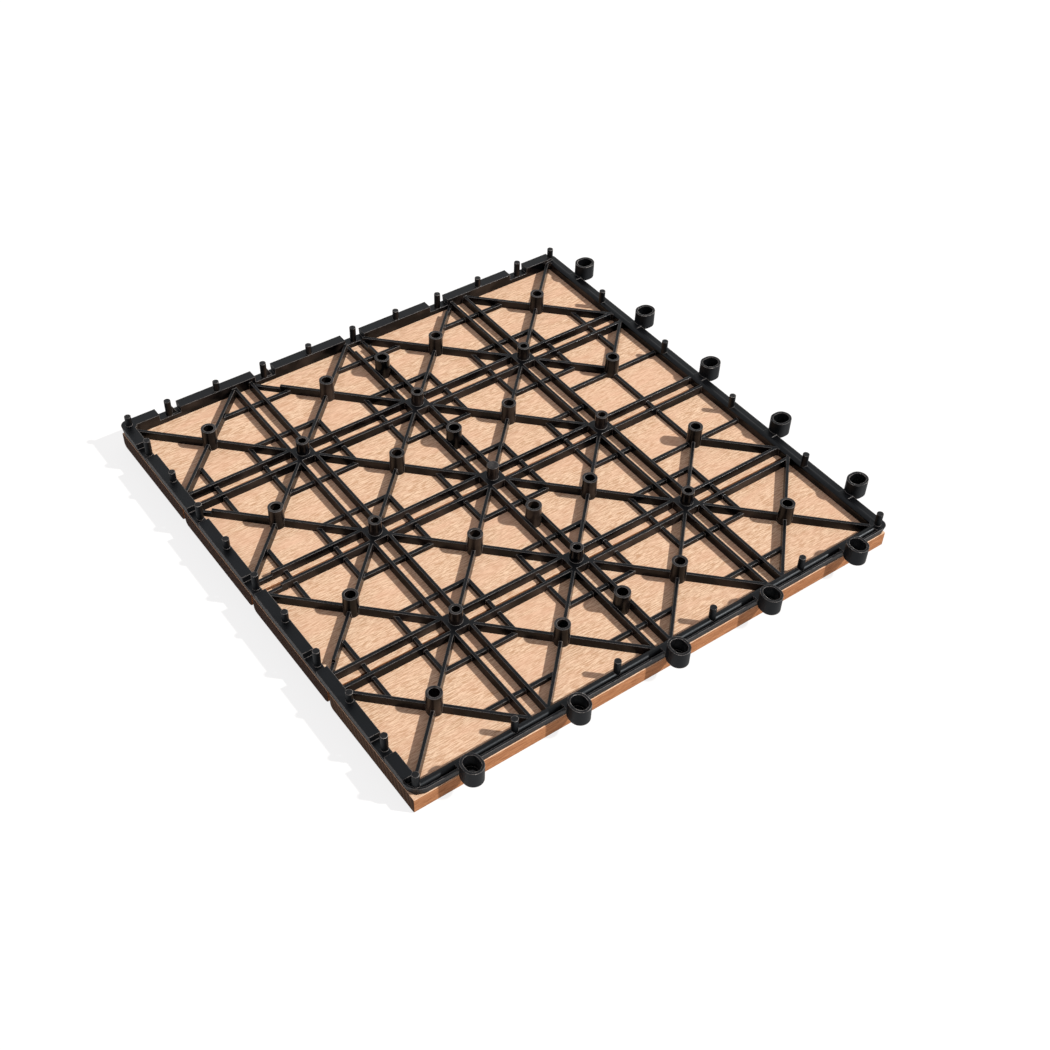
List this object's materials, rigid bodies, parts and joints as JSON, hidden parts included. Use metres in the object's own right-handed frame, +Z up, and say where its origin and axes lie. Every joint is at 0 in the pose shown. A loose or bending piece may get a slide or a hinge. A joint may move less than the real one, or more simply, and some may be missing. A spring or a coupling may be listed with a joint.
{
  "type": "interlocking deck tile",
  "caption": "Square outdoor deck tile of wooden boards screwed to a black plastic grid, lying deck face down, with joining loops on two sides and pins on the other two.",
  "frame": {"origin": "on the deck face that the tile lies on, under the middle of the whole part", "axes": "+Z up, from the boards to the feet of the grid; X along the boards; loops face +X and -Y, pins stand at the -X and +Y sides"},
  "size_m": [0.3128, 0.3127, 0.0225],
  "materials": {
    "plastic": "satin",
    "wood": "planed",
    "screw_steel": "plain"
  },
  "bodies": {
    "root": {"base_grid": "plastic", "deck_board_1": "wood", "deck_board_2": "wood", "deck_board_3": "wood", "deck_board_4": "wood", "board_screws": "screw_steel"}
  },
  "joints": []
}
